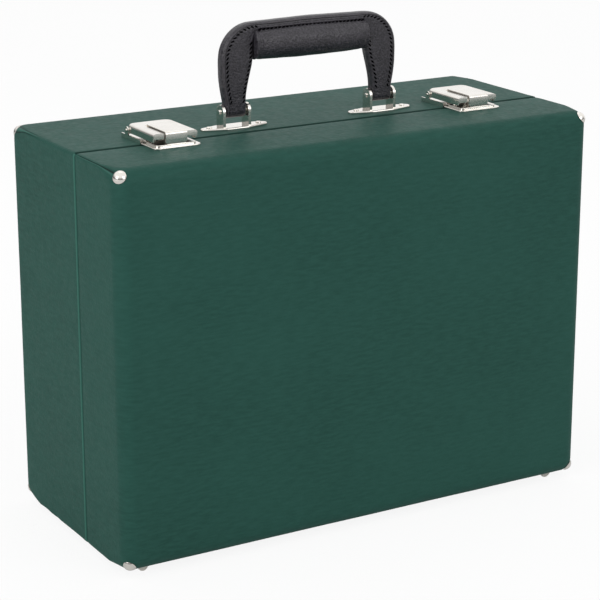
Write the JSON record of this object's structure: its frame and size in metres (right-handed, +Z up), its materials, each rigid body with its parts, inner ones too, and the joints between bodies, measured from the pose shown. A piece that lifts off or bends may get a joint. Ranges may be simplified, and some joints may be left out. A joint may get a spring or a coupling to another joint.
{
  "type": "horn case",
  "caption": "Rectangular hard case for a brass horn, green leatherette over plywood, with a carrying handle, snap latches and a lid hinged along its base.",
  "frame": {"origin": "on the floor under the middle of the case, which stands on its hinge side with the handle up", "axes": "+X along the case from the left latch to the right one, +Y out of its back, so -Y looks out of the lid, +Z up out of the handle side"},
  "size_m": [0.38, 0.174, 0.3585],
  "materials": {
    "leatherette": "satin",
    "plywood": "matte",
    "plush": "matte",
    "plush_padding": "matte",
    "plush_board": "matte",
    "handle_leather": "satin",
    "nickel": "polished",
    "plain_steel": "satin"
  },
  "bodies": {
    "rear_case": {"accessory_box": "plush_board", "handle_bracket_left": "nickel", "handle_bracket_right": "nickel", "handle_bracket_rivets": "nickel", "handle_pin_left": "nickel", "handle_pin_right": "nickel", "hinge_left_pin": "plain_steel", "hinge_left_rear_leaf": "nickel", "hinge_rear_rivets": "nickel", "hinge_right_pin": "plain_steel", "hinge_right_rear_leaf": "nickel", "horn_cradle": "plush_padding", "latch_base_rivets": "nickel", "latch_left_base": "nickel", "latch_left_pivot_pin": "nickel", "latch_left_spring": "plain_steel", "latch_right_base": "nickel", "latch_right_pivot_pin": "nickel", "latch_right_spring": "plain_steel", "mouthpiece_block": "plush_padding", "rear_corner_studs": "nickel", "rear_covering": "leatherette", "rear_feet": "nickel", "rear_frame": "plywood", "rear_lining": "plush", "rear_panel": "plywood", "rim_lip": "plywood"},
    "lid": {"hinge_left_lid_leaf": "nickel", "hinge_lid_rivets": "nickel", "hinge_right_lid_leaf": "nickel", "latch_left_strike": "nickel", "latch_right_strike": "nickel", "latch_strike_rivets": "nickel", "lid_corner_studs": "nickel", "lid_covering": "leatherette", "lid_feet": "nickel", "lid_frame": "plywood", "lid_lining": "plush", "lid_pad": "plush_padding", "lid_panel": "plywood"},
    "handle": {"handle_core": "plain_steel", "handle_eyes": "plain_steel", "handle_grip": "handle_leather", "handle_strap": "handle_leather"},
    "latch_left_lever": {"latch_left_cap": "nickel", "latch_left_tongue_pin": "nickel"},
    "latch_left_hasp": {"latch_left_tongue": "nickel"},
    "latch_right_lever": {"latch_right_cap": "nickel", "latch_right_tongue_pin": "nickel"},
    "latch_right_hasp": {"latch_right_tongue": "nickel"},
    "accessory_flap": {"accessory_lid": "plush_board", "accessory_lid_pins": "plain_steel", "accessory_lid_tab": "plush"}
  },
  "joints": [
    {"name": "lid_hinge", "type": "hinge", "parent": "rear_case", "child": "lid", "pos_m": [0, -0.023, 0.0023], "axis": [1, 0, 0], "range_deg": [0, 110]},
    {"name": "handle_swing", "type": "hinge", "parent": "rear_case", "child": "handle", "pos_m": [0, -0.006, 0.2965], "axis": [1, 0, 0], "range_deg": [-86, 86]},
    {"name": "accessory_lid_hinge", "type": "hinge", "parent": "rear_case", "child": "accessory_flap", "pos_m": [-0.095, -0.0073, 0.2223], "axis": [1, 0, 0], "range_deg": [0, 95]},
    {"name": "latch_left_lever_hinge", "type": "hinge", "parent": "rear_case", "child": "latch_left_lever", "pos_m": [-0.123, -0.0012, 0.2905], "axis": [-1, 0, 0], "range_deg": [0, 95]},
    {"name": "latch_left_hasp_hinge", "type": "hinge", "parent": "latch_left_lever", "child": "latch_left_hasp", "pos_m": [-0.123, -0.011, 0.2907], "axis": [-1, 0, 0], "range_deg": [0, 12]},
    {"name": "latch_right_lever_hinge", "type": "hinge", "parent": "rear_case", "child": "latch_right_lever", "pos_m": [0.123, -0.0012, 0.2905], "axis": [-1, 0, 0], "range_deg": [0, 95]},
    {"name": "latch_right_hasp_hinge", "type": "hinge", "parent": "latch_right_lever", "child": "latch_right_hasp", "pos_m": [0.123, -0.011, 0.2907], "axis": [-1, 0, 0], "range_deg": [0, 12]}
  ]
}
